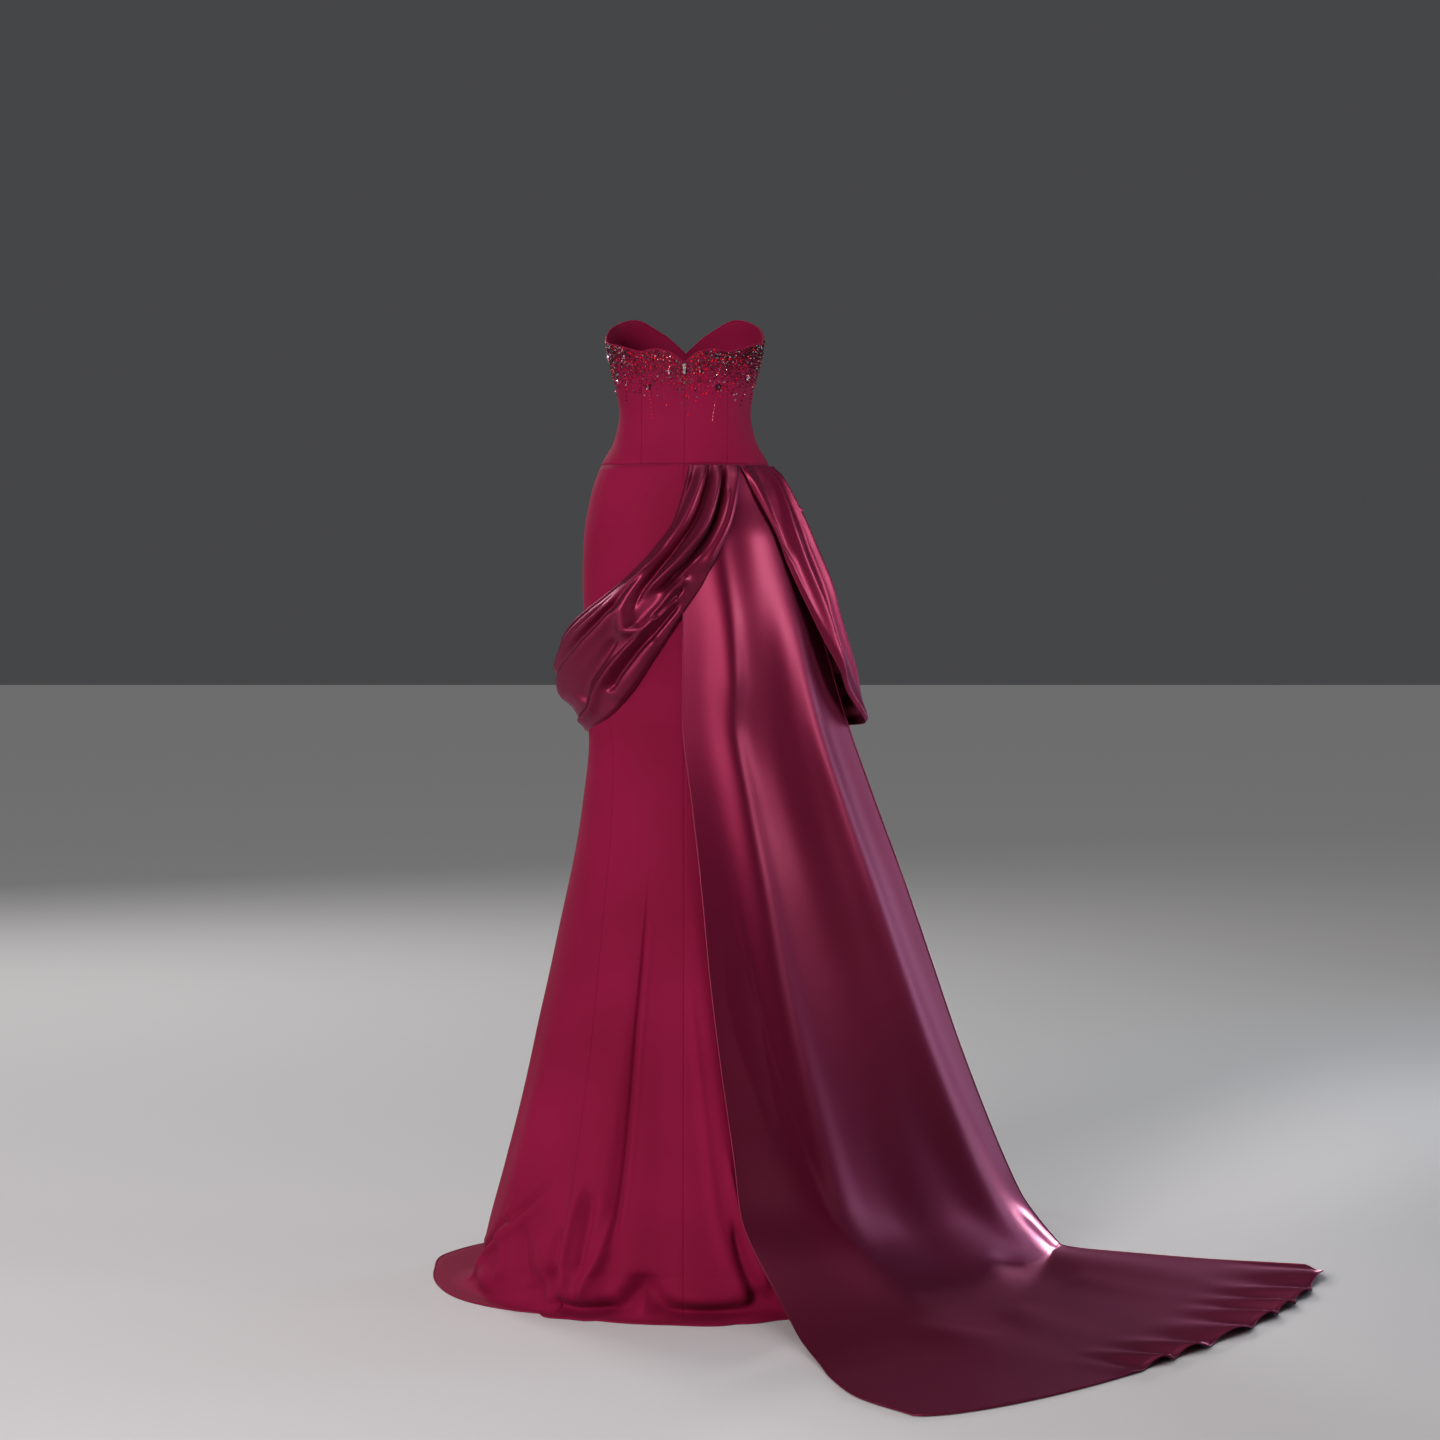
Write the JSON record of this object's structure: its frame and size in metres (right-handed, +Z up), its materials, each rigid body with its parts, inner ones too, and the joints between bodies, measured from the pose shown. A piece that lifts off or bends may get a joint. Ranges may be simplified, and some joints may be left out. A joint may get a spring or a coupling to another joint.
{
  "type": "mermaid gown",
  "caption": "Strapless floor-length mermaid gown with a scalloped back, satin hip swag and trailing satin train, held hollow in its worn shape.",
  "frame": {"origin": "centre of the waist ring, on the wearer's upright axis, where the wearer holds the gown up", "axes": "+Z up, +Y the way the wearer faces, +X the wearer's right"},
  "size_m": [1.3519, 1.1393, 1.453],
  "materials": {
    "crepe": "matte burgundy crepe",
    "satin": "burgundy satin with a soft mauve sheen",
    "zip_metal": "small silver zip slider and pull"
  },
  "bodies": {
    "gown": {"bodice_back_left": "crepe", "bodice_back_right": "crepe", "bodice_side_back_left": "crepe", "bodice_side_back_right": "crepe", "bodice_side_front_left": "crepe", "bodice_side_front_right": "crepe", "bodice_front": "crepe", "skirt_back_left": "crepe", "skirt_back_right": "crepe", "skirt_side_left": "crepe", "skirt_side_right": "crepe", "skirt_front": "crepe", "train": "satin", "swag_left": "satin", "swag_front": "satin", "swag_right": "satin", "zip_slider": "zip_metal"},
    "zip_pull": {"zip_pull": "zip_metal"}
  },
  "joints": [
    {"name": "zip_pull_hinge", "type": "hinge", "parent": "gown", "child": "zip_pull", "pos_m": [0, -0.08865, 0.068], "axis": [-1, 0, 0], "range_deg": [-4, 150]}
  ]
}
